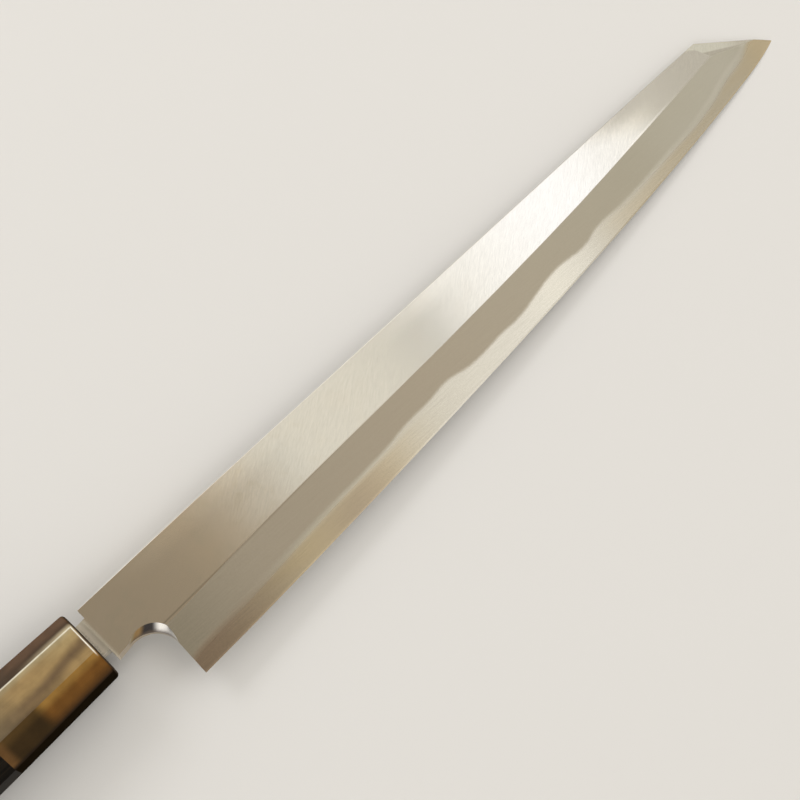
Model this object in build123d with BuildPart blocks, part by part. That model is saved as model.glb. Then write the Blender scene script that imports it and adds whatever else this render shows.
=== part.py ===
from build123d import *
import math
import os

# Single-bevel slicing knife with a clipped tip, for the right hand, laid flat with its bevelled face up.
# +X runs to the tip, +Y to the spine and +Z out of the bevelled face.
# The origin is on the handle's axis at the ferrule's front face. Lengths are in millimetres.

# Every cutting shape reaches this far past the surface that it cuts.
overrun = 2.0

# Blade, measured from its spine-side notch to its tip
blade_length = 300.7
blade_height = 35.7
notch_gap = 3.3
spine_lift = 9.4
spine_thickness = 4.2
tip_thickness = 2.8
spine_chamfer = 0.3
edge_bevel_width = 0.45
edge_bevel_degrees = 24.0

# Spine line: share of the blade's length, and drop under its highest point as a share of the blade's height
spine_shares = ((0.0, 0.0107), (0.14, 0.0), (0.35, 0.0048), (0.62, 0.0065), (0.82, 0.008), (0.919, 0.0154))

# Bevel: share of the length, rise of the cutting edge and drop of the ridge line as shares of the height
bevel_shares = (
    (0.0, 0.0, 0.543),
    (0.12, 0.005, 0.528),
    (0.26, 0.0315, 0.494),
    (0.4, 0.0705, 0.4755),
    (0.53, 0.1165, 0.4435),
    (0.66, 0.177, 0.3945),
    (0.78, 0.2525, 0.323),
    (0.87, 0.321, 0.266),
    (0.93, 0.3755, 0.22),
    (0.975, 0.431, 0.188),
    (1.0, 0.479, 0.169),
    (1.02, 0.53, 0.154),
)

# Clipped tip, slightly bent part of the way down, and the facet ground on its bevelled side
tip_drop = 18.6
clip_bend_share = 0.77
clip_bulge = 0.25
facet_spine_width = 2.9
facet_ridge_width = 0.2
facet_ridge_drop = 8.1
facet_fall_degrees = 5.9

# Neck, tang and the notches where the blade steps out from the neck
neck_height = 10.7
neck_lift = 0.6
neck_thickness = 3.2
neck_ramp_start = 0.2
neck_ramp_length = 3.3
tang_length = 95.0
tang_end_height = 5.0
tang_end_thickness = 2.0
heel_notch_setback = 0.85
heel_notch_height = 3.1

# Choil: round relief between the neck and the straight wall of the heel, with a polished crescent on its rim
choil_radius = 8.0
choil_rise = 0.73
heel_wall = 12.6
heel_lean = 0.5
crescent_clearance = 0.3
crescent_radius = 6.4
crescent_shift = 2.6

# Crescent: share of the spine's thickness above the back, and share of the way to its place on the face
crescent_shares = ((0.0, 0.0), (0.5, 0.22), (0.78, 0.62), (1.0, 1.0), (1.24, 1.6))

# Hollow ground into the back face inside flat rims, and its depth at each bevel station
hollow_depth = 0.35
hollow_start = 9.0
hollow_end_round = 9.0
hollow_reach = 0.3
spine_rim = 2.4
edge_rim = 1.9
tip_rim = 3.0
hollow_depth_shares = (0.6, 0.95, 1.0, 1.0, 1.0, 1.0, 0.9, 0.7, 0.5, 0.35, 0.3, 0.3)

# Hard steel: share of the length, and how high it reaches above the back as a share of the spine's thickness
weld_line_shares = (
    (0.013, -0.1),
    (0.03, 0.22),
    (0.055, 0.37),
    (0.12, 0.39),
    (0.2, 0.42),
    (0.3, 0.413),
    (0.335, 0.447),
    (0.366, 0.436),
    (0.389, 0.455),
    (0.405, 0.42),
    (0.425, 0.352),
    (0.445, 0.333),
    (0.473, 0.335),
    (0.5, 0.308),
    (0.53, 0.345),
    (0.567, 0.385),
    (0.592, 0.345),
    (0.615, 0.304),
    (0.645, 0.348),
    (0.68, 0.304),
    (0.72, 0.276),
    (0.78, 0.262),
    (0.835, 0.245),
    (0.87, 0.265),
    (0.912, 0.325),
    (0.94, 0.335),
    (0.97, 0.4),
    (1.02, 0.5),
)

# Octagonal handle, taller than it is thick, widening from the ferrule's front to the butt
ferrule_length = 32.7
handle_length = 148.0
front_half_height = 10.2
joint_half_height = 11.05
butt_half_height = 12.6
front_half_thickness = 9.2
joint_half_thickness = 9.5
butt_half_thickness = 10.7
corner_height_share = 0.555
corner_degrees = 44.1
ridge_round = 0.3
front_round = 1.1
butt_round = 1.6

# Inside the handle: a round dowel that reaches past the tang, its slot, and the bedding that fills the slot
dowel_radius = 7.5
dowel_glue_gap = 0.05
dowel_end_gap = 1.0
dowel_end_wall = 6.0
ferrule_wall = 8.0
bedding_wall = 0.35
bedding_end = 3.0
bedding_recess = 0.4

# Places worked out from the sizes above
back_z = -spine_thickness / 2
tip_x = notch_gap + blade_length
tip_y = spine_lift - tip_drop
heel_y = spine_lift - blade_height
neck_top = neck_lift + neck_height / 2
neck_bottom = neck_lift - neck_height / 2
heel_notch_x = notch_gap - heel_notch_setback
heel_notch_y = neck_bottom - heel_notch_height
choil_x = notch_gap + heel_wall - choil_radius
choil_y = heel_notch_y + choil_rise - choil_radius
slot_end_x = -tang_length - bedding_end
dowel_end_x = slot_end_x - dowel_end_wall


def along(share):
    """X of a share of the blade's length."""
    return notch_gap + share * blade_length


def drop_y(share):
    """Y of a share of the blade's height, counted down from the highest point of the spine."""
    return spine_lift - share * blade_height


def rise_y(share):
    """Y of a share of the blade's height, counted up from the edge at the heel."""
    return heel_y + share * blade_height


def thickness_at(share):
    """Blade thickness at a share of its length, thinning steadily to the tip."""
    return spine_thickness + share * (tip_thickness - spine_thickness)


def cut_above(y_low, z_low, y_high, z_high):
    """Outline, in Y and Z, of everything over the line through two points, down past the heel's edge."""
    steepness = (z_high - z_low) / (y_high - y_low)
    outer_y = heel_y - 2 * overrun
    over_z = spine_thickness
    Polygon(
        (outer_y, z_low + (outer_y - y_low) * steepness),
        (y_low + (over_z - z_low) / steepness, over_z),
        (outer_y, over_z),
        align=None,
    )


# Blade before its two steels are told apart: plan, side, then each ground surface
spine_points = [(along(length_share), drop_y(drop_share)) for length_share, drop_share in spine_shares]
shoulder_x, shoulder_y = spine_points[-1]
clip_run = tip_x - shoulder_x
clip_drop = shoulder_y - tip_y
clip_angle = math.atan2(clip_drop, clip_run)
bend_x = shoulder_x + clip_bend_share * clip_run + clip_bulge * math.sin(clip_angle)
bend_y = shoulder_y - clip_bend_share * clip_drop + clip_bulge * math.cos(clip_angle)
past_tip_x = tip_x + overrun
past_tip_y = tip_y - overrun * (bend_y - tip_y) / (tip_x - bend_x)
heel_foot = (notch_gap + heel_wall - heel_lean, heel_y - overrun)

with BuildPart() as forged_blade:
    with BuildSketch(Plane.XY.offset(-spine_thickness)):
        with BuildLine():
            Spline(*spine_points)
            Polyline(
                (shoulder_x, shoulder_y),
                (bend_x, bend_y),
                (past_tip_x, past_tip_y),
                (past_tip_x, heel_foot[1]),
                heel_foot,
                (choil_x + choil_radius, choil_y),
            )
            CenterArc((choil_x, choil_y), choil_radius, 0, 90)
            Polyline(
                (choil_x, choil_y + choil_radius),
                (heel_notch_x, heel_notch_y),
                (heel_notch_x, neck_bottom),
                (0, neck_bottom),
                (-tang_length, -tang_end_height / 2),
                (-tang_length, tang_end_height / 2),
                (0, neck_top),
                (notch_gap, neck_top),
                spine_points[0],
            )
        make_face()
    extrude(amount=2 * spine_thickness)

    # Side: flat back, thinning to the tip above, a double-curved ramp down to the neck and a thinning tang
    with BuildSketch(Plane.XZ):
        with BuildLine():
            ramp_top_x = neck_ramp_start + neck_ramp_length
            ramp_middle_x = neck_ramp_start + neck_ramp_length / 2
            ramp_middle_z = (neck_thickness + spine_thickness) / 4
            Polyline(
                (ramp_top_x, -back_z),
                (past_tip_x, back_z + thickness_at((past_tip_x - notch_gap) / blade_length)),
                (past_tip_x, back_z),
                (ramp_top_x, back_z),
            )
            Polyline(
                (neck_ramp_start, -neck_thickness / 2),
                (0, -neck_thickness / 2),
                (-tang_length, -tang_end_thickness / 2),
                (-tang_length, tang_end_thickness / 2),
                (0, neck_thickness / 2),
                (neck_ramp_start, neck_thickness / 2),
            )
            for side in (1, -1):
                ramp_middle = (ramp_middle_x, side * ramp_middle_z)
                TangentArc((neck_ramp_start, side * neck_thickness / 2), ramp_middle, tangent=(1, 0))
                TangentArc((ramp_top_x, -side * back_z), ramp_middle, tangent=(-1, 0))
        make_face()
    extrude(amount=2 * blade_height, both=True, mode=Mode.INTERSECT)
    long_edges = forged_blade.edges().filter_by(lambda edge: edge.length > blade_length / 2)
    chamfer(long_edges.sort_by(Axis.Y)[-2:], length=spine_chamfer)

    # Long bevel from the ridge line nearly to the edge
    edge_bevel_rise = edge_bevel_width * math.tan(math.radians(edge_bevel_degrees))
    for length_share, edge_share, ridge_share in bevel_shares:
        with BuildSketch(Plane.YZ.offset(along(length_share))):
            cut_above(
                rise_y(edge_share) + edge_bevel_width,
                back_z + edge_bevel_rise,
                drop_y(ridge_share),
                back_z + thickness_at(length_share),
            )
    loft(mode=Mode.SUBTRACT)

    # Fine steeper bevel that makes the cutting edge
    for length_share, edge_share, ridge_share in bevel_shares:
        with BuildSketch(Plane.YZ.offset(along(length_share))):
            cut_above(
                rise_y(edge_share),
                back_z,
                rise_y(edge_share) + edge_bevel_width,
                back_z + edge_bevel_rise,
            )
    loft(mode=Mode.SUBTRACT)

    # Facet of the clipped tip, from a line across the flat face down to the bend of the clip
    facet_spine_x = shoulder_x - facet_spine_width
    facet_ridge_x = shoulder_x - facet_ridge_width
    facet_ridge_y = spine_lift - facet_ridge_drop
    facet_top_z = back_z + thickness_at((shoulder_x - notch_gap) / blade_length)
    facet_line = Vector(facet_ridge_x - facet_spine_x, facet_ridge_y - shoulder_y, 0).normalized()
    facet_out = Vector(-facet_line.Y, facet_line.X, 0)
    facet_fall = math.radians(facet_fall_degrees)
    facet_plane = Plane(
        origin=(facet_spine_x, shoulder_y, facet_top_z),
        x_dir=facet_line,
        z_dir=facet_out * math.sin(facet_fall) + Vector(0, 0, math.cos(facet_fall)),
    )
    split(bisect_by=facet_plane, keep=Keep.BOTTOM)

    # Polished crescent on the rim of the choil
    for height_share, shift_share in crescent_shares:
        with BuildSketch(Plane.XY.offset(back_z + height_share * spine_thickness)):
            shift = shift_share * crescent_shift
            start_radius = choil_radius - crescent_clearance
            with Locations((choil_x + shift, choil_y + shift)):
                Circle(start_radius + shift_share * (crescent_radius - start_radius))
    loft(mode=Mode.SUBTRACT)

with BuildPart() as back_hollow:
    for (length_share, edge_share, ridge_share), depth_share in zip(bevel_shares, hollow_depth_shares):
        with BuildSketch(Plane.YZ.offset(along(length_share))):
            with BuildLine():
                low_y = rise_y(edge_share) + edge_rim
                high_y = shoulder_y - spine_rim
                depth = depth_share * hollow_depth
                half_chord = (high_y - low_y) / 2
                wheel_radius = (half_chord**2 + depth**2) / (2 * depth)
                reach = math.sqrt(wheel_radius**2 - (wheel_radius - depth - hollow_reach) ** 2)
                middle_y = (high_y + low_y) / 2
                ThreePointArc(
                    (middle_y - reach, back_z - hollow_reach),
                    (middle_y, back_z + depth),
                    (middle_y + reach, back_z - hollow_reach),
                )
                Line((middle_y + reach, back_z - hollow_reach), (middle_y - reach, back_z - hollow_reach))
            make_face()
    loft()

    # It starts in an arc under the neck and ends along the clip, inside the tip's rim
    with BuildSketch(Plane.XY.offset(back_z - overrun)):
        with BuildLine():
            end_y = spine_lift + overrun
            start_x = notch_gap + hollow_start
            clip_slope = clip_drop / clip_run
            rim_x = tip_rim / math.sin(clip_angle)
            top_x = shoulder_x - rim_x - (end_y - shoulder_y) / clip_slope
            bottom_x = top_x + (end_y - heel_y + overrun) / clip_slope
            ThreePointArc(
                (start_x + hollow_end_round, end_y),
                (start_x, neck_lift - neck_height),
                (start_x + hollow_end_round, heel_y - overrun),
            )
            Polyline(
                (start_x + hollow_end_round, heel_y - overrun),
                (bottom_x, heel_y - overrun),
                (top_x, end_y),
                (start_x + hollow_end_round, end_y),
            )
        make_face()
    extrude(amount=2 * overrun, mode=Mode.INTERSECT)

with BuildPart() as weld_sheet:
    with BuildSketch(Plane.XZ):
        with BuildLine():
            weld_points = [
                (along(length_share), back_z + height_share * spine_thickness)
                for length_share, height_share in weld_line_shares
            ]
            Spline(*weld_points)
            Polyline(
                weld_points[-1],
                (weld_points[-1][0], back_z - overrun),
                (weld_points[0][0], back_z - overrun),
                weld_points[0],
            )
        make_face()
    extrude(amount=2 * blade_height, both=True)

with BuildPart() as hard_steel_layer:
    add(forged_blade.part)
    add(weld_sheet.part, mode=Mode.INTERSECT)
    add(back_hollow.part, mode=Mode.SUBTRACT)

with BuildPart() as iron_blade_body:
    add(forged_blade.part)
    add(weld_sheet.part, mode=Mode.SUBTRACT)


def octagon(x, half_height, half_thickness):
    """Corners of the handle at one X: flats above, below and at the sides, with equally sloped corners."""
    corner_height = corner_height_share * half_height
    flat = half_height - corner_height
    side = half_thickness - corner_height * math.tan(math.radians(corner_degrees))
    corners = ((flat, half_thickness), (half_height, side), (half_height, -side), (flat, -half_thickness))
    return [(x, sign * y, sign * z) for sign in (1, -1) for y, z in corners]


with BuildPart() as horn_ferrule:
    joint_corners = octagon(-ferrule_length, joint_half_height, joint_half_thickness)
    ConvexPolyhedron(octagon(0, front_half_height, front_half_thickness) + joint_corners)
    ferrule_ridges = horn_ferrule.edges().filter_by(lambda edge: edge.length > ferrule_length / 2)
    fillet(ferrule_ridges, radius=ridge_round)
    fillet(horn_ferrule.faces().sort_by(Axis.X)[-1].edges(), radius=front_round)

    # Bore for the dowel from behind, then the mouth that the neck passes through
    with BuildSketch(Plane.YZ.offset(-ferrule_length - overrun)):
        Circle(dowel_radius + dowel_glue_gap)
    extrude(amount=ferrule_length + overrun - ferrule_wall, mode=Mode.SUBTRACT)
    with BuildSketch(Plane.YZ.offset(-ferrule_wall - overrun)):
        with Locations((neck_lift, 0)):
            Rectangle(neck_height + 2 * bedding_wall, neck_thickness + 2 * bedding_wall)
    extrude(amount=ferrule_wall + 2 * overrun, mode=Mode.SUBTRACT)

with BuildPart() as ebony_handle:
    ConvexPolyhedron(joint_corners + octagon(-handle_length, butt_half_height, butt_half_thickness))
    handle_ridges = ebony_handle.edges().filter_by(lambda edge: edge.length > ferrule_length)
    fillet(handle_ridges, radius=ridge_round)
    fillet(ebony_handle.faces().sort_by(Axis.X)[0].edges(), radius=butt_round)

    # Blind bore for the dowel
    with BuildSketch(Plane.YZ.offset(-ferrule_length + overrun)):
        Circle(dowel_radius + dowel_glue_gap)
    extrude(amount=dowel_end_x - dowel_end_gap + ferrule_length - overrun, mode=Mode.SUBTRACT)

with BuildPart() as tang_dowel:
    with BuildSketch(Plane.YZ.offset(-ferrule_wall)):
        Circle(dowel_radius)
    extrude(amount=dowel_end_x + ferrule_wall)
    with BuildSketch(Plane.YZ.offset(slot_end_x)):
        with Locations((neck_lift, 0)):
            Rectangle(neck_height + 2 * bedding_wall, neck_thickness + 2 * bedding_wall)
    extrude(amount=overrun - slot_end_x, mode=Mode.SUBTRACT)

with BuildPart() as tang_bedding:
    with BuildSketch(Plane.YZ.offset(slot_end_x)):
        with Locations((neck_lift, 0)):
            Rectangle(neck_height + 2 * bedding_wall, neck_thickness + 2 * bedding_wall)
    extrude(amount=-bedding_recess - slot_end_x)
    add(iron_blade_body.part, mode=Mode.SUBTRACT)

pieces = {
    "iron_blade_body": iron_blade_body,
    "hard_steel_layer": hard_steel_layer,
    "horn_ferrule": horn_ferrule,
    "ebony_handle": ebony_handle,
    "tang_dowel": tang_dowel,
    "tang_bedding": tang_bedding,
}
os.makedirs("parts", exist_ok=True)
for name, piece in pieces.items():
    piece.part.label = name
    export_step(piece.part, f"parts/{name}.step")
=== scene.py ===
import math

import bpy
from mathutils import Matrix, Vector


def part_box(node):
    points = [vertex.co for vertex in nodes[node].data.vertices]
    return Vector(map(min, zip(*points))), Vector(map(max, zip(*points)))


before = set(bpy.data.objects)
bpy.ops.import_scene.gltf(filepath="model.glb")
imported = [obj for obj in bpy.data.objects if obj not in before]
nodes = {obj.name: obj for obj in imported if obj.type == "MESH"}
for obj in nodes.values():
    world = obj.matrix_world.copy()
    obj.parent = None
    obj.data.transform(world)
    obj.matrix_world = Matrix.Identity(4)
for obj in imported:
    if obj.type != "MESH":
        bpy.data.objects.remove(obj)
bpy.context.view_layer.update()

MM = 0.001

# Camera, solved from the photograph: its place, and its three directions in the knife's own frame
PHOTO_SIDE_PX = 800
FOCAL_PX = 1106.78
PIXEL_CENTRE_SHIFT = 0.5 / PHOTO_SIDE_PX
SENSOR_MM = 36.0
CAMERA_AT = Vector((-4.16, -86.2, 292.7)) * MM
CAMERA_RIGHT = Vector((0.675396, -0.734349, 0.067614))
CAMERA_DOWN = Vector((-0.650868, -0.636691, -0.413517))
CAMERA_FORWARD = Vector((0.346716, 0.235280, -0.907982))
CAMERA_NEAR_M = 0.01
CAMERA_FAR_M = 20.0

# Room, which dims from the walls to the ceiling between two heights, as shares of straight up
ROOM_COLOUR = (1.0, 0.96, 0.88)
WALL_BRIGHTNESS = 0.94
CEILING_BRIGHTNESS = 0.38
WALL_TOP_SHARE = 0.5
CEILING_RIM_SHARE = 0.98

# Lamps: two level panels that the steel mirrors, and two that are aimed at one place on the blade
PANEL_HEIGHT_M = 0.75
PANEL_LENGTH_M = 1.3
BRIGHT_PANEL_TURN_DEG = -10.0
LAMP_AIM_M = (0.1, 0.0, 0.0)
WHITE = (1.0, 1.0, 1.0)

# Floor
FLOOR_HALF_WIDTH_M = 8.0
FLOOR_COLOUR = (0.72, 0.71, 0.70)
FLOOR_ROUGHNESS = 0.7

# Sizes of the blade that its finish follows
BLADE_START_MM = 3.3
BLADE_LENGTH_MM = 300.7
BLADE_HEIGHT_MM = 35.7
SPINE_LIFT_MM = 9.4
SPINE_THICKNESS_MM = 4.2

# Line of the clip: X and Y times these two, plus the offset, is how far inward of it a place lies
CLIP_INWARD_X = -0.582
CLIP_INWARD_Y = -0.813
CLIP_OFFSET_MM = 169.44

# Lit part of the facet at the clip: its width at one X, and how much narrower per mm toward the tip
FACET_LIT_MM = 2.7
FACET_LIT_AT_X_MM = 284.0
FACET_NARROWING = 0.2

# Weld line: share of the blade's length, and height over the back as a share of the spine's thickness
WELD_LINE_SHARES = (
    (0.0, 0.0),
    (0.013, 0.02),
    (0.03, 0.22),
    (0.055, 0.37),
    (0.12, 0.39),
    (0.2, 0.42),
    (0.3, 0.413),
    (0.335, 0.447),
    (0.366, 0.436),
    (0.389, 0.455),
    (0.405, 0.42),
    (0.425, 0.352),
    (0.445, 0.333),
    (0.473, 0.335),
    (0.5, 0.308),
    (0.53, 0.345),
    (0.567, 0.385),
    (0.592, 0.345),
    (0.615, 0.304),
    (0.645, 0.348),
    (0.68, 0.304),
    (0.72, 0.276),
    (0.78, 0.262),
    (0.835, 0.245),
    (0.87, 0.265),
    (0.912, 0.325),
    (0.94, 0.335),
    (0.97, 0.4),
    (1.0, 0.46),
)

# Ridge line: share of the blade's length, and drop under the spine as a share of the blade's height
RIDGE_LINE_SHARES = (
    (0.0, 0.543),
    (0.12, 0.528),
    (0.26, 0.494),
    (0.4, 0.4755),
    (0.53, 0.4435),
    (0.66, 0.3945),
    (0.78, 0.323),
    (0.87, 0.266),
    (0.93, 0.22),
    (0.975, 0.188),
    (1.0, 0.169),
)

# Painted sheens and shades on the flat: middle X and half width in mm, how much lighter low down and at
# the spine
PAINTED_SHEENS_AND_SHADES = (
    (32.0, 22.0, 0.0, 0.14),
    (57.0, 24.0, -0.17, -0.03),
    (133.0, 24.0, 0.06, 0.24),
    (234.0, 17.0, 0.15, 0.0),
    (235.0, 18.0, 0.0, -0.16),
)

# Colours of the flat, from the heel to the clip, and of the facet at the clip, with painted highlights
# and shade
FLAT_BROWN_HEEL = (0.65, 0.537, 0.391)
FLAT_MOTTLE = (0.57, 0.50, 0.365)
FLAT_PLAIN = (0.655, 0.64, 0.592)
FLAT_PAINTED_HIGHLIGHT = (0.66, 0.655, 0.64)
FLAT_SHADE_PAST_HIGHLIGHT = (0.615, 0.585, 0.515)
FLAT_CLIP_HIGHLIGHT = (0.74, 0.715, 0.62)
FACET_AT_SPINE = (0.63, 0.616, 0.54)
FACET_SHADE_AT_TIP = (0.52, 0.49, 0.42)
FACET_UNLIT = (0.47, 0.445, 0.38)

# Colours of the bevel: iron, hard steel with painted highlight and shade, and the mist along the weld
# near the tip
IRON_HEEL = (0.298, 0.262, 0.196)
IRON_MIDDLE = (0.398, 0.347, 0.271)
IRON_TIP = (0.42, 0.394, 0.315)
STEEL_HEEL = (0.37, 0.275, 0.19)
STEEL_DARKER_GOLD = (0.395, 0.33, 0.245)
STEEL_MIDDLE = (0.54, 0.515, 0.45)
STEEL_HIGHLIGHT = (0.585, 0.56, 0.485)
STEEL_SHADE = (0.488, 0.455, 0.373)
STEEL_ENDS = (0.505, 0.475, 0.395)
STEEL_GOLD = (0.505, 0.425, 0.284)
STEEL_TIP = (0.54, 0.455, 0.31)
WELD_MIST = (0.50, 0.47, 0.395)

# Colours of the neck, ridge line, spine's edge and heel crescent, painted highlights, shade and
# reflections among them, and the back
NECK_GREY = (0.66, 0.60, 0.48)
NECK_RISE_HIGHLIGHT = (0.90, 0.81, 0.66)
NECK_BLOTCH = (0.42, 0.38, 0.32)
RIDGE_SHADE = (0.22, 0.16, 0.10)
RIDGE_GLINT = (0.95, 0.93, 0.88)
SPINE_EDGE_HIGHLIGHT = (0.88, 0.83, 0.76)
CRESCENT_REFLECTION_START = (0.55, 0.46, 0.29)
CRESCENT_BROWN_REFLECTION = (0.34, 0.22, 0.10)
CRESCENT_DARK_REFLECTION = (0.05, 0.045, 0.045)
CRESCENT_HIGHLIGHT = (0.97, 0.95, 0.93)
CRESCENT_SHADE = (0.16, 0.13, 0.11)
BACK_RIMS = (0.72, 0.69, 0.62)
BACK_HOLLOW = (0.56, 0.535, 0.475)

# Directions of the brushing and honing lines, turned from +X to +Y
BRUSHING_DEG = 33.0
FINE_BRUSHING_DEG = 31.0
HONING_DEG = -3.0

# Roughness of the steels, what the hollow of the back adds to it, and how metallic they are
FLAT_ROUGHNESS = (0.21, 0.15)
IRON_ROUGHNESS = 0.52
STEEL_ROUGHNESS = 0.26
HOLLOW_ADDS_ROUGHNESS = 0.12
POLISHED_METAL = 1.0
DULL_METAL = 0.3

# Horn ferrule: height of its top, Y of its upper ridge at the front, and how much that flares per mm
HORN_TOP_MM = 9.35
HORN_RIDGE_MM = 4.54
HORN_RIDGE_FLARE = 0.0116

# Colours of the horn: top, lower corner, upper corner and edges, with painted highlights and painted
# shade among them
STRAW = (0.318, 0.214, 0.09)
STRAW_GRAIN = (0.295, 0.197, 0.085)
STRAW_WARM = (0.37, 0.27, 0.125)
STRAW_RIDGE_HIGHLIGHT = (0.37, 0.30, 0.17)
STRAW_REAR = (0.13, 0.10, 0.06)
SMOKE = (0.112, 0.07, 0.037)
SMOKE_UNDER = (0.095, 0.058, 0.028)
AMBER = (0.275, 0.15, 0.036)
AMBER_DEEP = (0.15, 0.065, 0.013)
AMBER_DARK = (0.062, 0.028, 0.008)
OLIVE = (0.075, 0.042, 0.012)
OLIVE_DEEP = (0.036, 0.02, 0.006)
HORN_BROWN = (0.12, 0.06, 0.02)
MAUVE = (0.10, 0.054, 0.028)
MAUVE_AT_RIDGE = (0.052, 0.028, 0.013)
MAUVE_RIDGE_HIGHLIGHT = (0.41, 0.34, 0.22)
MAUVE_REAR = (0.055, 0.034, 0.018)
HORN_LOWEST_SHADE = (0.014, 0.008, 0.004)
HORN_SIDES_SHADE = (0.009, 0.006, 0.003)
HORN_FRONT_SHADE = (0.05, 0.036, 0.026)
HORN_RIDGE_HIGHLIGHT = (0.80, 0.76, 0.62)
HORN_RIM_HIGHLIGHT = (0.92, 0.88, 0.78)
HORN_ROUGHNESS = (0.36, 0.28)

# Colours and finish of the woods and the resin
EBONY_DARK = (0.006, 0.005, 0.004)
EBONY_BROWN = (0.026, 0.019, 0.013)
EBONY_PORE = (0.003, 0.002, 0.002)
EBONY_ROUGHNESS = (0.40, 0.48)
EBONY_SPECULAR = 0.03
PALE_WOOD = (0.66, 0.48, 0.29)
PALE_WOOD_RING = (0.50, 0.34, 0.18)
PALE_WOOD_ROUGHNESS = (0.62, 0.72)
RESIN = (0.10, 0.065, 0.03)
RESIN_DARK = (0.05, 0.032, 0.016)
RESIN_ROUGHNESS = (0.35, 0.5)

# Range that noise keeps to, near its middle
NOISE_RANGE = (0.3, 0.7)


class Graph:
    """The nodes of one material, with short calls that add and link them. Places are in millimetres."""

    def __init__(self, name):
        self.material = bpy.data.materials.new(name)
        self.material.use_nodes = True
        self.tree = self.material.node_tree
        self.shader = self.tree.nodes["Principled BSDF"]
        coordinates = self.tree.nodes.new("ShaderNodeTexCoord")
        self.place = self.vector_math("SCALE", coordinates.outputs["Object"], factor=1 / MM)
        self.x, self.y, self.z = self.split(self.place)
        self.normal_x, self.normal_y, self.normal_z = self.split(coordinates.outputs["Normal"])

    def put(self, socket, value):
        """Gives a socket its value: another node's output, a colour or a number."""
        if isinstance(value, bpy.types.NodeSocket):
            self.tree.links.new(value, socket)
        elif isinstance(value, tuple) and socket.type == "RGBA":
            socket.default_value = (*value, 1.0)
        else:
            socket.default_value = value

    def put_all(self, node, values):
        for name, value in values.items():
            self.put(node.inputs[name], value)

    def split(self, vector):
        node = self.tree.nodes.new("ShaderNodeSeparateXYZ")
        self.put(node.inputs[0], vector)
        return node.outputs[0], node.outputs[1], node.outputs[2]

    def vector_math(self, operation, vector, factor):
        node = self.tree.nodes.new("ShaderNodeVectorMath")
        node.operation = operation
        self.put(node.inputs[0], vector)
        self.put(node.inputs["Scale"], factor)
        return node.outputs["Vector"]

    def math(self, operation, *values):
        node = self.tree.nodes.new("ShaderNodeMath")
        node.operation = operation
        for socket, value in zip(node.inputs, values):
            self.put(socket, value)
        return node.outputs[0]

    def add(self, first, second):
        return self.math("ADD", first, second)

    def subtract(self, first, second):
        return self.math("SUBTRACT", first, second)

    def product(self, *factors):
        """The factors multiplied. Masks multiplied are a mask of where all of them hold."""
        result = factors[0]
        for factor in factors[1:]:
            result = self.math("MULTIPLY", result, factor)
        return result

    def swing(self, value, middle, reach, around=0.0):
        """How far a value strays from its middle, drawn out by the reach, laid around another value."""
        return self.math("MULTIPLY_ADD", self.subtract(value, middle), reach, around)

    def choose(self, mask, off, on):
        """One value off the mask and another on it."""
        return self.add(self.product(off, self.subtract(1.0, mask)), self.product(on, mask))

    def step(self, value, start, end, low=0.0, high=1.0):
        """Eases from low to high as the value goes from start to end."""
        node = self.tree.nodes.new("ShaderNodeMapRange")
        node.interpolation_type = "SMOOTHSTEP"
        self.put_all(node, {"Value": value, "From Min": start, "From Max": end})
        self.put_all(node, {"To Min": low, "To Max": high})
        return node.outputs["Result"]

    def spread(self, noise, low=0.0, high=1.0):
        """Noise, which keeps near its middle, drawn out to run from low to high."""
        return self.step(noise, *NOISE_RANGE, low, high)

    def band(self, value, middle, half_width):
        """One in the middle, easing to nothing at half_width on both sides."""
        away = self.math("ABSOLUTE", self.subtract(value, middle))
        return self.step(away, 0.0, half_width, 1.0, 0.0)

    def curve(self, value, points):
        """A curve through the points. A new curve already has its first two."""
        node = self.tree.nodes.new("ShaderNodeFloatCurve")
        self.put(node.inputs["Value"], value)
        curve = node.mapping.curves[0]
        for index, (x, y) in enumerate(points):
            if index < 2:
                curve.points[index].location = (x, y)
            else:
                curve.points.new(x, y)
        node.mapping.update()
        return node.outputs["Value"]

    def mix(self, share, low, high):
        """A colour between two. The sockets go by number, because the node has several of each name."""
        node = self.tree.nodes.new("ShaderNodeMix")
        node.data_type = "RGBA"
        for index, value in ((0, share), (6, low), (7, high)):
            self.put(node.inputs[index], value)
        return node.outputs[2]

    def paint(self, colour, over, *masks):
        """A colour with another laid over it where all the masks hold. A number thins the layer."""
        return self.mix(self.product(*masks), colour, over)

    def shade(self, colour, factor):
        """A colour made lighter or darker by a factor that varies over the surface."""
        return self.vector_math("SCALE", colour, factor)

    def noise(self, vector, scale=1.0, detail=2.0, roughness=0.5, distortion=0.0):
        node = self.tree.nodes.new("ShaderNodeTexNoise")
        self.put_all(node, {"Vector": vector, "Scale": scale, "Detail": detail})
        self.put_all(node, {"Roughness": roughness, "Distortion": distortion})
        return node.outputs["Fac"]

    def streaks(self, degrees, length, width, detail=3.0, roughness=0.6, offset=0.0):
        """Noise drawn out into lines of about that length and width in mm, turned from +X to +Y."""
        node = self.tree.nodes.new("ShaderNodeMapping")
        node.vector_type = "TEXTURE"
        self.put_all(node, {"Vector": self.place, "Location": (offset, offset, 0.0)})
        turn = (0.0, 0.0, math.radians(degrees))
        self.put_all(node, {"Rotation": turn, "Scale": (length, width, length)})
        return self.noise(node.outputs["Vector"], detail=detail, roughness=roughness)

    def bump(self, height, strength, distance_mm):
        node = self.tree.nodes.new("ShaderNodeBump")
        self.put_all(node, {"Height": height, "Strength": strength, "Distance": distance_mm * MM})
        return node.outputs["Normal"]

    def finish(self, colour, roughness, normal, **others):
        """Puts the main inputs of the shader, and others by their names, and gives the material."""
        self.put_all(self.shader, {"Base Color": colour, "Roughness": roughness, "Normal": normal})
        self.put_all(self.shader, others)
        return self.material


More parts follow.
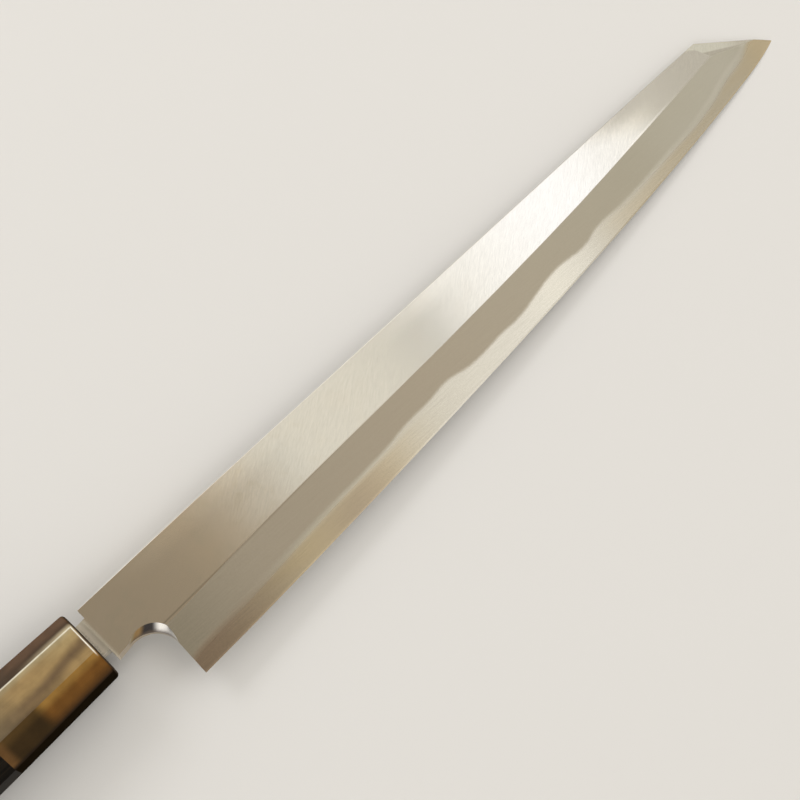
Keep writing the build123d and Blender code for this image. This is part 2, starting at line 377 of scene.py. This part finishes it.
class BladeGraph(Graph):
    """A graph that also knows where on the blade it is, and which ground face that is."""

    def __init__(self, name):
        super().__init__(name)
        self.share = self.math("DIVIDE", self.subtract(self.x, BLADE_START_MM), BLADE_LENGTH_MM)
        self.rise = self.math("DIVIDE", self.add(self.z, SPINE_THICKNESS_MM / 2), SPINE_THICKNESS_MM)
        self.from_middle = self.math("ABSOLUTE", self.subtract(self.share, 0.5))

        # Brushing on the flat, and mist and honing lines on the bevel
        self.mist = self.noise(self.place, scale=2.2, detail=4.0, roughness=0.7)
        brushed = self.streaks(BRUSHING_DEG, length=3.5, width=0.35, detail=4.0)
        brushed_fine = self.streaks(FINE_BRUSHING_DEG, length=2.0, width=0.13, offset=40.0)
        honed = self.streaks(HONING_DEG, length=12.0, width=0.22, detail=4.0, offset=80.0)
        self.brush = self.choose(0.5, brushed, brushed_fine)
        self.hone = self.choose(0.5, honed, self.mist)

        # Masks of the ground faces, by their normals and by how far along the blade they are
        self.facet = self.product(
            self.step(self.normal_z, 0.985, 0.992),
            self.step(self.normal_x, 0.05, 0.08),
            self.step(self.x, 100.0, 200.0),
        )
        self.bevel = self.product(
            self.step(self.normal_z, 0.985, 0.98),
            self.step(self.normal_z, 0.8, 0.9),
            self.step(self.normal_y, -0.1, -0.16),
        )
        # Where the spine's edge gets a painted highlight, fading out toward the tip
        self.spine_highlight = self.product(
            self.step(self.normal_y, 0.5, 0.7),
            self.step(self.normal_z, 0.2, 0.35),
            self.step(self.x, 270.0, 150.0),
        )
        self.crescent = self.product(
            self.step(self.normal_z, 0.85, 0.8),
            self.step(self.normal_z, 0.1, 0.2),
            self.step(self.normal_y, 0.3, 0.1),
            self.step(self.x, 22.0, 20.0),
        )
        self.neck = self.step(self.x, 3.6, 2.0)
        self.back = self.step(self.normal_z, -0.3, -0.6)
        self.hollow = self.product(self.back, self.step(self.rise, 0.004, 0.02))

        # Hard steel under the weld line, which wanders a little and is sharpest halfway along
        weld = self.swing(self.mist, 0.5, 0.03, around=self.curve(self.share, WELD_LINE_SHARES))
        self.over_weld = self.subtract(self.rise, weld)
        softness = self.step(self.from_middle, 0.15, 0.4, 1.0, 2.4)
        self.hard = self.step(self.math("DIVIDE", self.over_weld, softness), 0.026, -0.04)


def make_camera():
    data = bpy.data.cameras.new("camera")
    data.sensor_width = SENSOR_MM
    data.lens = SENSOR_MM * FOCAL_PX / PHOTO_SIDE_PX
    data.shift_x = -PIXEL_CENTRE_SHIFT
    data.shift_y = PIXEL_CENTRE_SHIFT
    data.clip_start = CAMERA_NEAR_M
    data.clip_end = CAMERA_FAR_M
    camera = bpy.data.objects.new("camera", data)
    bpy.context.scene.collection.objects.link(camera)
    axes = Matrix((CAMERA_RIGHT, -CAMERA_DOWN, -CAMERA_FORWARD)).transposed()
    camera.matrix_world = Matrix.Translation(CAMERA_AT) @ axes.to_4x4()
    bpy.context.scene.camera = camera
    bpy.context.scene.view_settings.view_transform = "Standard"


def make_world():
    """A plain soft room, bright at the walls and dimmer overhead."""
    world = bpy.data.worlds.new("studio")
    bpy.context.scene.world = world
    world.use_nodes = True
    tree = world.node_tree
    background = tree.nodes["Background"]
    background.inputs["Color"].default_value = (*ROOM_COLOUR, 1.0)
    coordinates = tree.nodes.new("ShaderNodeTexCoord")
    direction = tree.nodes.new("ShaderNodeSeparateXYZ")
    tree.links.new(coordinates.outputs["Generated"], direction.inputs[0])
    brightness = tree.nodes.new("ShaderNodeMapRange")
    brightness.interpolation_type = "SMOOTHSTEP"
    brightness.inputs["From Min"].default_value = WALL_TOP_SHARE
    brightness.inputs["From Max"].default_value = CEILING_RIM_SHARE
    brightness.inputs["To Min"].default_value = WALL_BRIGHTNESS
    brightness.inputs["To Max"].default_value = CEILING_BRIGHTNESS
    tree.links.new(direction.outputs["Z"], brightness.inputs["Value"])
    tree.links.new(brightness.outputs["Result"], background.inputs["Strength"])


def make_floor():
    """A pale table under the knife, which lies on the ferrule and on the tip of the blade."""
    rest_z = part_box("horn_ferrule")[0].z
    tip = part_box("hard_steel_layer")[1].x
    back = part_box("hard_steel_layer")[0].z
    tilt = math.atan2(back - rest_z, tip)
    half = FLOOR_HALF_WIDTH_M
    corners = [(-half, -half, 0), (half, -half, 0), (half, half, 0), (-half, half, 0)]
    mesh = bpy.data.meshes.new("floor")
    mesh.from_pydata(corners, [], [(0, 1, 2, 3)])
    floor = bpy.data.objects.new("floor", mesh)
    bpy.context.scene.collection.objects.link(floor)
    floor.matrix_world = Matrix.Translation((0, 0, rest_z)) @ Matrix.Rotation(-tilt, 4, "Y")
    material = bpy.data.materials.new("floor")
    material.use_nodes = True
    shader = material.node_tree.nodes["Principled BSDF"]
    shader.inputs["Base Color"].default_value = (*FLOOR_COLOUR, 1.0)
    shader.inputs["Roughness"].default_value = FLOOR_ROUGHNESS
    mesh.materials.append(material)


def make_lamp(name, centre, size, brightness, colour=WHITE):
    """A flat soft lamp, facing down. Its brightness is what a mirror would show, where 1 is white."""
    data = bpy.data.lights.new(name, "AREA")
    data.shape = "RECTANGLE"
    data.size, data.size_y = size
    data.energy = brightness * math.pi * data.size * data.size_y
    data.color = colour
    lamp = bpy.data.objects.new(name, data)
    bpy.context.scene.collection.objects.link(lamp)
    lamp.location = centre
    return lamp


def make_lamps():
    bright = make_lamp(
        "panel_bright",
        centre=(0.636, -0.05, PANEL_HEIGHT_M),
        size=(0.33, PANEL_LENGTH_M),
        brightness=1.05,
        colour=(1.0, 0.99, 1.0),
    )
    bright.rotation_euler.z = math.radians(BRIGHT_PANEL_TURN_DEG)
    make_lamp(
        "panel_dim",
        centre=(0.325, -0.05, PANEL_HEIGHT_M),
        size=(0.26, PANEL_LENGTH_M),
        brightness=0.66,
        colour=(1.0, 0.94, 0.82),
    )
    behind_spine = make_lamp("rim", centre=(-0.15, 1.0, 0.7), size=(0.5, 0.35), brightness=6.0)
    behind_handle = make_lamp("fill", centre=(-0.9, -0.5, 0.8), size=(0.7, 0.5), brightness=3.0)
    for lamp in (behind_spine, behind_handle):
        lamp.rotation_euler = (Vector(LAMP_AIM_M) - lamp.location).to_track_quat("-Z", "Y").to_euler()


def flat_colour(g):
    """The flat, browner at the heel, with painted highlight and shade; the clip facet has a painted lit
    edge.
    """
    clouds = g.noise(g.place, scale=0.09, detail=3.0)
    mottle = g.noise(g.place, scale=0.22, detail=4.0, roughness=0.6, distortion=0.5)
    # Browner towards the heel, in soft clouds
    brown_heel = g.swing(clouds, 0.5, 0.25, around=g.step(g.share, 0.24, 0.1))
    colour = g.mix(brown_heel, FLAT_PLAIN, FLAT_BROWN_HEEL)
    mottled = g.step(mottle, 0.5, 0.72, 0.0, 0.3)
    colour = g.paint(colour, FLAT_MOTTLE, mottled, g.step(g.share, 0.3, 0.15))
    # Painted highlight in a wide band across the flat
    colour = g.paint(colour, FLAT_PAINTED_HIGHLIGHT, g.band(g.x, 195.0, 55.0))

    # The painted highlight ends at a line that slants over the flat, and painted shade lies past it
    slanted_x = g.add(g.x, g.product(g.y, 1.8))
    colour = g.paint(colour, FLAT_SHADE_PAST_HIGHLIGHT, g.step(slanted_x, 226.0, 250.0))

    from_clip = g.math("MULTIPLY_ADD", g.x, CLIP_INWARD_X, CLIP_OFFSET_MM)
    from_clip = g.math("MULTIPLY_ADD", g.y, CLIP_INWARD_Y, from_clip)
    # Painted highlight on the flat just inside the clip's edge
    colour = g.paint(colour, FLAT_CLIP_HIGHLIGHT, g.step(from_clip, 2.9, 2.1))
    # Painted shade on the facet toward the tip, and past the painted lit part along its outer edge
    facet_colour = g.mix(g.step(g.x, 285.0, 296.0), FACET_AT_SPINE, FACET_SHADE_AT_TIP)
    lit_width = g.swing(g.x, FACET_LIT_AT_X_MM, -FACET_NARROWING, around=FACET_LIT_MM)
    past_lit = g.subtract(from_clip, lit_width)
    facet_colour = g.paint(facet_colour, FACET_UNLIT, g.step(past_lit, 0.0, 0.8))
    return g.mix(g.facet, colour, facet_colour)


def bevel_colour(g):
    """The bevel: iron over the weld line, and hard steel under it, golden by the edge at both ends."""
    iron = g.mix(g.step(g.share, 0.02, 0.16), IRON_HEEL, IRON_MIDDLE)
    iron = g.paint(iron, IRON_TIP, g.step(g.share, 0.3, 0.95))
    ends = g.step(g.from_middle, 0.12, 0.28)
    tint = g.streaks(HONING_DEG, length=70.0, width=12.0, detail=1.0, offset=10.0)
    gold = g.product(g.step(g.over_weld, -0.015, -0.13), g.step(tint, 0.2, 0.6, 0.5, 1.0), ends)
    steel = g.mix(ends, STEEL_MIDDLE, STEEL_ENDS)
    # Painted highlight and painted shade in two bands along the hard steel
    steel = g.paint(steel, STEEL_HIGHLIGHT, g.band(g.share, 0.56, 0.08))
    steel = g.paint(steel, STEEL_SHADE, g.band(g.share, 0.68, 0.09))
    steel = g.paint(steel, STEEL_GOLD, gold)
    # Darker gold in a band about a quarter of the way along
    steel = g.paint(steel, STEEL_DARKER_GOLD, gold, g.band(g.share, 0.255, 0.09))
    steel = g.paint(steel, STEEL_HEEL, g.step(g.share, 0.2, 0.04))
    steel = g.paint(steel, STEEL_TIP, g.step(g.share, 0.93, 0.98))
    colour = g.mix(g.hard, iron, steel)
    return g.paint(colour, WELD_MIST, g.band(g.over_weld, 0.01, 0.07), g.step(g.share, 0.8, 0.9), 0.7)


def paint_neck(g, colour):
    """The neck, a little greyer and blotched, with a painted highlight where it rises to the blade."""
    colour = g.paint(colour, NECK_GREY, g.neck)
    colour = g.paint(colour, NECK_RISE_HIGHLIGHT, g.neck, g.band(g.x, 0.9, 1.3))
    blotches = g.product(g.step(g.mist, 0.42, 0.6), g.step(g.y, 5.0, 2.5), g.step(g.x, 1.2, 0.5), 0.6)
    return g.paint(colour, NECK_BLOTCH, g.neck, blotches)


def blade_tone(g):
    """How light each place is: painted sheens, shades and brushing on the flat, and honing on the
    bevel.
    """
    near_spine = g.step(g.y, 2.0, 8.0)
    sheen_and_shade = 1.0
    for middle, half_width, low_down, at_spine in PAINTED_SHEENS_AND_SHADES:
        change = g.product(g.band(g.x, middle, half_width), g.choose(near_spine, low_down, at_spine))
        sheen_and_shade = g.add(sheen_and_shade, change)
    brushing = g.swing(g.spread(g.brush), 0.52, g.step(g.x, 205.0, 235.0, 0.085, 0.14), around=1.0)
    honing_depth = g.add(g.product(g.hard, 0.06), g.step(g.share, 0.2, 0.05, 0.08, 0.18))
    honing = g.swing(g.spread(g.hone), 0.5, honing_depth, around=1.0)
    return g.choose(g.bevel, g.product(brushing, sheen_and_shade), honing)


def paint_ridge_and_spine(g, colour):
    """A fine line of painted shade on the ridge, fading along the blade, a glint on it, and a painted
    spine highlight.
    """
    ridge_drop = g.product(g.curve(g.share, RIDGE_LINE_SHARES), BLADE_HEIGHT_MM)
    ridge_y = g.subtract(SPINE_LIFT_MM, ridge_drop)
    line = g.product(g.band(g.y, ridge_y, 0.45), g.step(g.share, 0.45, 0.02))
    colour = g.paint(colour, RIDGE_SHADE, line, g.step(g.normal_z, 0.0, 0.5), 0.45)
    glint = g.product(g.band(g.y, g.add(ridge_y, 0.35), 0.5), g.band(g.x, 238.0, 22.0))
    colour = g.paint(colour, RIDGE_GLINT, glint, 0.5)
    return g.paint(colour, SPINE_EDGE_HIGHLIGHT, g.spine_highlight)


def paint_crescent(g, colour):
    """Painted reflection in the heel crescent: brown at its near end, dark in the middle, bright past
    that.
    """
    turned = g.math("ARCTAN2", g.product(g.normal_x, -1.0), g.product(g.normal_y, -1.0))
    crescent_reflection = g.mix(g.step(turned, -0.3, 0.0), CRESCENT_REFLECTION_START, CRESCENT_BROWN_REFLECTION)
    crescent_reflection = g.paint(crescent_reflection, CRESCENT_DARK_REFLECTION, g.step(turned, 0.1, 0.4))
    crescent_reflection = g.paint(crescent_reflection, CRESCENT_HIGHLIGHT, g.step(turned, 0.65, 1.0))
    # Painted shade lower down in the crescent, with a wavering edge
    shade_waver = g.streaks(0.0, length=30.0, width=0.5, detail=2.0, offset=25.0)
    depth = g.add(g.z, g.product(shade_waver, 0.8))
    crescent_reflection = g.paint(crescent_reflection, CRESCENT_SHADE, g.step(depth, 1.3, 0.1, 0.0, 0.8))
    return g.paint(colour, crescent_reflection, g.crescent)


def paint_back(g, colour):
    """The back, which lies on the floor: bright polished rims round a satin hollow."""
    back_colour = g.mix(g.hollow, BACK_RIMS, BACK_HOLLOW)
    return g.paint(colour, g.shade(back_colour, g.spread(g.brush, 0.96, 1.04)), g.back)


def forged_steel(name):
    """Finish of both steels, which are one forging: each place looks as the face does that it is on."""
    g = BladeGraph(name)
    colour = g.mix(g.bevel, flat_colour(g), bevel_colour(g))
    colour = paint_neck(g, colour)
    colour = g.shade(colour, blade_tone(g))
    colour = paint_ridge_and_spine(g, colour)
    colour = paint_crescent(g, colour)
    colour = paint_back(g, colour)

    bevel_roughness = g.choose(g.hard, IRON_ROUGHNESS, STEEL_ROUGHNESS)
    roughness = g.choose(g.bevel, g.spread(g.brush, *FLAT_ROUGHNESS), bevel_roughness)
    roughness = g.add(roughness, g.product(g.hollow, HOLLOW_ADDS_ROUGHNESS))
    scratches = g.choose(g.bevel, g.brush, g.product(g.hone, 0.5))
    normal = g.bump(scratches, strength=0.25, distance_mm=0.02)
    # The neck and the painted highlight on the spine's edge are less metallic
    dull = g.math("MAXIMUM", g.neck, g.spine_highlight)
    return g.finish(colour, roughness, normal, Metallic=g.choose(dull, POLISHED_METAL, DULL_METAL))


def horn_top(g, waver):
    """Top of the ferrule: straw, with a smoke streak that slants down to the rear."""
    grain = g.streaks(0.0, length=16.0, width=1.6, roughness=0.5)
    colour = g.mix(g.step(grain, 0.3, 0.75), STRAW, STRAW_GRAIN)
    colour = g.paint(colour, STRAW_WARM, g.step(g.x, -15.0, -3.0), g.step(g.y, -0.2, 2.2))
    # Painted highlight toward the upper ridge
    colour = g.paint(colour, STRAW_RIDGE_HIGHLIGHT, g.step(g.y, 2.6, 4.4, 0.0, 0.8))
    streak_y = g.add(g.step(g.x, -18.0, 1.0, -2.7, -0.5), waver)
    under_streak = g.subtract(streak_y, g.y)
    colour = g.paint(colour, SMOKE_UNDER, g.step(under_streak, 0.0, 2.4), g.step(g.x, -5.0, -24.0))
    smoke = g.product(g.band(under_streak, 0.0, 2.7), g.step(g.x, -14.0, -28.0, 0.85, 0.6))
    colour = g.paint(colour, SMOKE, smoke)
    return g.paint(colour, STRAW_REAR, g.step(g.x, -18.0, -30.0, 0.0, 0.6))


def horn_lower_corner(g, drop, rear):
    """Lower corner of the ferrule: amber that deepens downward, olive behind it, brown at the rear."""
    amber = g.mix(g.step(drop, 0.4, 2.4), AMBER, AMBER_DEEP)
    amber = g.paint(amber, AMBER_DARK, g.step(drop, 3.0, 5.4))
    olive = g.mix(g.step(drop, 0.2, 2.4), OLIVE, OLIVE_DEEP)
    colour = g.mix(rear, amber, olive)
    colour = g.paint(colour, HORN_BROWN, g.step(g.x, -29.5, -32.0))
    # Painted shade along the lowest strip of the corner
    return g.paint(colour, HORN_LOWEST_SHADE, g.step(drop, 4.8, 5.7))


def horn_upper_corner(g, drop, rear):
    """Upper corner of the ferrule: mauve brown, with a painted highlight beside the ridge at its front.
    """
    colour = g.mix(g.step(drop, 1.4, 4.0), MAUVE_AT_RIDGE, MAUVE)
    colour = g.paint(colour, MAUVE_RIDGE_HIGHLIGHT, g.step(drop, 2.2, 0.4), g.step(g.x, -19.0, -1.0))
    return g.paint(colour, MAUVE_REAR, rear, 0.6)


def paint_horn_edges(g, colour):
    """Painted shade on the front, and painted highlights along the upper ridge and round the front rim.
    """
    upward = g.step(g.normal_z, 0.5, 0.6)
    ridge_y = g.math("MULTIPLY_ADD", g.x, -HORN_RIDGE_FLARE, HORN_RIDGE_MM)
    ridge = g.product(g.band(g.y, ridge_y, 0.42), upward, g.step(g.x, -0.8, -1.2))
    rim = g.product(g.band(g.x, -0.78, 0.28), upward, g.step(g.y, 4.9, 4.5), g.step(g.y, -6.0, -4.0))
    colour = g.paint(colour, HORN_FRONT_SHADE, g.step(g.x, -0.55, -0.3))
    colour = g.paint(colour, HORN_RIDGE_HIGHLIGHT, ridge, 0.85)
    return g.paint(colour, HORN_RIM_HIGHLIGHT, rim)


def polished_horn():
    """Marbled horn: straw on top, amber, olive and mauve brown at the corners, sides in near-black
    painted shade.
    """
    g = Graph("polished_horn")
    wander = g.noise(g.place, scale=0.12, detail=3.0, distortion=0.4)
    waver = g.swing(wander, 0.5, 1.6)
    rear = g.step(g.add(g.x, waver), -17.0, -21.0)
    drop = g.subtract(HORN_TOP_MM, g.z)
    colour = horn_top(g, waver)
    colour = g.paint(colour, horn_lower_corner(g, drop, rear), g.step(g.normal_y, -0.3, -0.55))
    colour = g.paint(colour, horn_upper_corner(g, drop, rear), g.step(g.normal_y, 0.3, 0.55))
    # Painted shade makes the sides near-black
    colour = g.paint(colour, HORN_SIDES_SHADE, g.step(g.normal_z, 0.45, 0.3))
    colour = paint_horn_edges(g, colour)

    fine = g.streaks(0.0, length=9.0, width=0.35, offset=30.0)
    blotch = g.noise(g.place, scale=0.25, detail=3.0, distortion=0.3)
    colour = g.shade(colour, g.product(g.spread(fine, 0.97, 1.03), g.spread(blotch, 0.9, 1.12)))

    # The sides keep no gloss, or they would mirror the pale floor
    gloss_inputs = {
        "Specular IOR Level": g.step(g.normal_z, 0.6, 0.95, 0.0, 0.25),
        "Coat Weight": g.step(g.normal_z, 0.7, 1.0, 0.0, 0.3),
        "Coat Roughness": 0.1,
    }
    roughness = g.spread(fine, *HORN_ROUGHNESS)
    normal = g.bump(fine, strength=0.05, distance_mm=0.01)
    return g.finish(colour, roughness, normal, **gloss_inputs)


def ebony():
    """Near-black wood with fine pores along the handle."""
    g = Graph("ebony")
    grain = g.streaks(0.0, length=22.0, width=0.6, detail=5.0)
    pores = g.streaks(0.0, length=3.5, width=0.12, detail=2.0, offset=15.0)
    colour = g.mix(g.step(grain, 0.35, 0.75), EBONY_DARK, EBONY_BROWN)
    pore = g.step(pores, 0.62, 0.74)
    colour = g.paint(colour, EBONY_PORE, pore)
    roughness = g.add(g.spread(grain, *EBONY_ROUGHNESS), g.product(pore, 0.2))
    height = g.subtract(g.product(grain, 0.3), pore)
    normal = g.bump(height, strength=0.25, distance_mm=0.03)
    return g.finish(colour, roughness, normal, **{"Specular IOR Level": EBONY_SPECULAR})


def pale_wood():
    """Plain light wood of the dowel inside the handle."""
    g = Graph("pale_wood")
    rings = g.streaks(0.0, length=30.0, width=1.6)
    fibres = g.streaks(0.0, length=6.0, width=0.12, offset=9.0)
    colour = g.mix(g.spread(rings), PALE_WOOD, PALE_WOOD_RING)
    colour = g.shade(colour, g.spread(fibres, 0.9, 1.06))
    normal = g.bump(fibres, strength=0.3, distance_mm=0.03)
    return g.finish(colour, g.spread(fibres, *PALE_WOOD_ROUGHNESS), normal)


def bedding_resin():
    """Dark amber resin, slightly uneven, that seals the tang."""
    g = Graph("bedding_resin")
    swirl = g.noise(g.place, scale=0.8, detail=3.0, distortion=0.6)
    colour = g.mix(g.spread(swirl), RESIN, RESIN_DARK)
    normal = g.bump(swirl, strength=0.2, distance_mm=0.05)
    return g.finish(colour, g.spread(swirl, *RESIN_ROUGHNESS), normal)


def dress(node_name, material):
    node = nodes[node_name]
    node.data.materials.clear()
    node.data.materials.append(material)


make_camera()
make_world()
make_floor()
make_lamps()
dress("iron_blade_body", forged_steel("soft_iron"))
dress("hard_steel_layer", forged_steel("hard_steel"))
dress("horn_ferrule", polished_horn())
dress("ebony_handle", ebony())
dress("tang_dowel", pale_wood())
dress("tang_bedding", bedding_resin())
